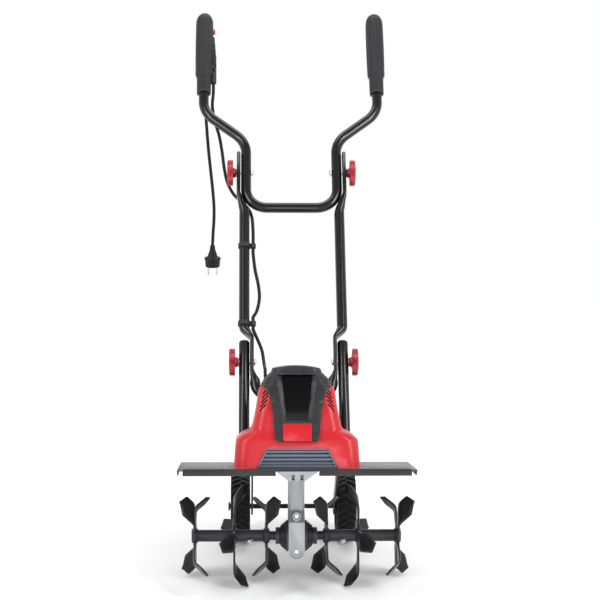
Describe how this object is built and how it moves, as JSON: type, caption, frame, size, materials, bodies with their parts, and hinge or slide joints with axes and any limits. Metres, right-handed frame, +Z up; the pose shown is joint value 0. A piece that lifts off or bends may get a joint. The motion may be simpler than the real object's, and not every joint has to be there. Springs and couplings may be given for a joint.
{
  "type": "electric tiller",
  "caption": "Corded electric garden tiller: tine rotor under a steel guard, worm gear column, housed motor, transport wheels and a handle that folds in two stages.",
  "frame": {"origin": "middle of the box's bottom, on the floor that the tine tips and the wheels stand on", "axes": "+Z up, -Y front (the tine side), +X to the machine's left as seen from behind its handles turned to face -Y; the tine axle runs along X"},
  "size_m": [0.456, 0.9042, 1.0562],
  "materials": {
    "red_housing": "satin moulded ABS",
    "red_label": "blank printed plate",
    "knob_red": "satin moulded nylon",
    "hood_black": "fine-textured ABS",
    "insert_black": "polished ABS",
    "grille_grey": "satin grey-blue paint on ABS",
    "tube_black": "gloss powder coat on steel tube",
    "guard_black": "satin powder coat on pressed steel",
    "tine_black": "satin paint on forged steel",
    "case_cast": "die cast, lightly blasted",
    "bell_black": "moulded seal cover",
    "wheel_black": "moulded polypropylene",
    "grip_rubber": "soft moulded rubber",
    "cable_rubber": "rubber sheath",
    "plain_steel": "zinc plated",
    "motor_iron": "laminated steel",
    "winding": "enamelled copper winding and bars",
    "wheel_bronze": "cast bronze"
  },
  "bodies": {
    "root": {"axle_bell_left": "bell_black", "axle_bearing_left": "plain_steel", "wheel_bracket_left": "guard_black", "lower_tube_left": "tube_black", "knob_bolt_lower_left": "plain_steel", "axle_bell_right": "bell_black", "axle_bearing_right": "plain_steel", "wheel_bracket_right": "guard_black", "lower_tube_right": "tube_black", "knob_bolt_lower_right": "plain_steel", "gear_case_front": "case_cast", "gear_case_rear": "case_cast", "case_bolt_upper": "plain_steel", "case_bolt_lower": "plain_steel", "shaft_bearing": "plain_steel", "motor_stator": "motor_iron", "motor_housing": "red_housing", "motor_hood": "hood_black", "hood_insert": "insert_black", "label_plate": "red_label", "front_grille": "grille_grey", "tine_guard": "guard_black", "wheel_axle": "tine_black", "motor_cable_bottom": "cable_rubber", "cable_gland": "cable_rubber"},
    "tine_rotor": {"tine_star_inner_left": "tine_black", "tine_star_middle_left": "tine_black", "tine_star_outer_left": "tine_black", "tine_sleeve_left": "tine_black", "tine_pin_left": "plain_steel", "tine_star_inner_right": "tine_black", "tine_star_middle_right": "tine_black", "tine_star_outer_right": "tine_black", "tine_sleeve_right": "tine_black", "tine_pin_right": "plain_steel", "tine_axle": "tine_black", "worm_wheel": "wheel_bronze"},
    "motor_rotor": {"motor_shaft": "plain_steel", "armature": "winding", "cooling_fan": "hood_black"},
    "left_wheel": {"wheel_left": "wheel_black"},
    "right_wheel": {"wheel_right": "wheel_black"},
    "mid_frame": {"mid_handle": "tube_black", "cable_clip_upper": "hood_black", "cable_clip_lower": "hood_black", "motor_cable_middle": "cable_rubber", "knob_bolt_upper_left": "plain_steel", "knob_bolt_upper_right": "plain_steel"},
    "upper_frame": {"upper_handle": "tube_black", "grip_right": "grip_rubber", "switch_grip": "grip_rubber", "motor_cable_top": "cable_rubber", "mains_lead": "cable_rubber", "lead_plug": "cable_rubber"},
    "lever": {"switch_lever": "hood_black"},
    "lock_off": {"lock_off_button": "knob_red"},
    "upper_knob_left": {"knob_upper_left": "knob_red"},
    "upper_knob_right": {"knob_upper_right": "knob_red"},
    "lower_knob_left": {"knob_lower_left": "knob_red"},
    "lower_knob_right": {"knob_lower_right": "knob_red"}
  },
  "joints": [
    {"name": "tine_spin", "type": "hinge", "parent": "root", "child": "tine_rotor", "pos_m": [0, -0.35409, 0.098], "axis": [1, 0, 0], "continuous": true},
    {"name": "motor_spin", "type": "hinge", "parent": "root", "child": "motor_rotor", "pos_m": [0, -0.30165, 0.18828], "axis": [0, 0.2326, 0.9726], "continuous": true},
    {"name": "left_wheel_spin", "type": "hinge", "parent": "root", "child": "left_wheel", "pos_m": [-0.109, -0.10374, 0.07], "axis": [1, 0, 0], "continuous": true},
    {"name": "right_wheel_spin", "type": "hinge", "parent": "root", "child": "right_wheel", "pos_m": [0.109, -0.10374, 0.07], "axis": [1, 0, 0], "continuous": true},
    {"name": "mid_fold", "type": "hinge", "parent": "root", "child": "mid_frame", "pos_m": [0, -0.09207, 0.3767], "axis": [1, 0, 0], "range_deg": [0, 100], "deforming": ["motor_cable_bottom"]},
    {"name": "upper_fold", "type": "hinge", "parent": "mid_frame", "child": "upper_frame", "pos_m": [0, 0.18651, 0.72755], "axis": [-1, 0, 0], "range_deg": [0, 150], "deforming": ["motor_cable_top"]},
    {"name": "lever_squeeze", "type": "hinge", "parent": "upper_frame", "child": "lever", "pos_m": [-0.175, 0.40167, 0.99851], "axis": [0, 0.7831, -0.6218], "range_deg": [0, 4], "stiffness_Nm_per_rad": 0.6, "springref_deg": -5.73},
    {"name": "lock_off_press", "type": "slide", "parent": "upper_frame", "child": "lock_off", "axis": [-1, 0, 0], "range_m": [0, 0.003], "stiffness_N_per_m": 300, "springref_m": -0.002},
    {"name": "upper_knob_left_turn", "type": "hinge", "parent": "mid_frame", "child": "upper_knob_left", "pos_m": [-0.125, 0.18651, 0.72755], "axis": [1, 0, 0], "continuous": true},
    {"name": "upper_knob_right_turn", "type": "hinge", "parent": "mid_frame", "child": "upper_knob_right", "pos_m": [0.125, 0.18651, 0.72755], "axis": [1, 0, 0], "continuous": true},
    {"name": "lower_knob_left_turn", "type": "hinge", "parent": "root", "child": "lower_knob_left", "pos_m": [-0.125, -0.09207, 0.3767], "axis": [1, 0, 0], "continuous": true},
    {"name": "lower_knob_right_turn", "type": "hinge", "parent": "root", "child": "lower_knob_right", "pos_m": [0.125, -0.09207, 0.3767], "axis": [1, 0, 0], "continuous": true}
  ],
  "couplings": [
    {"joint": "motor_spin", "follows": "tine_spin", "ratio": 30}
  ]
}
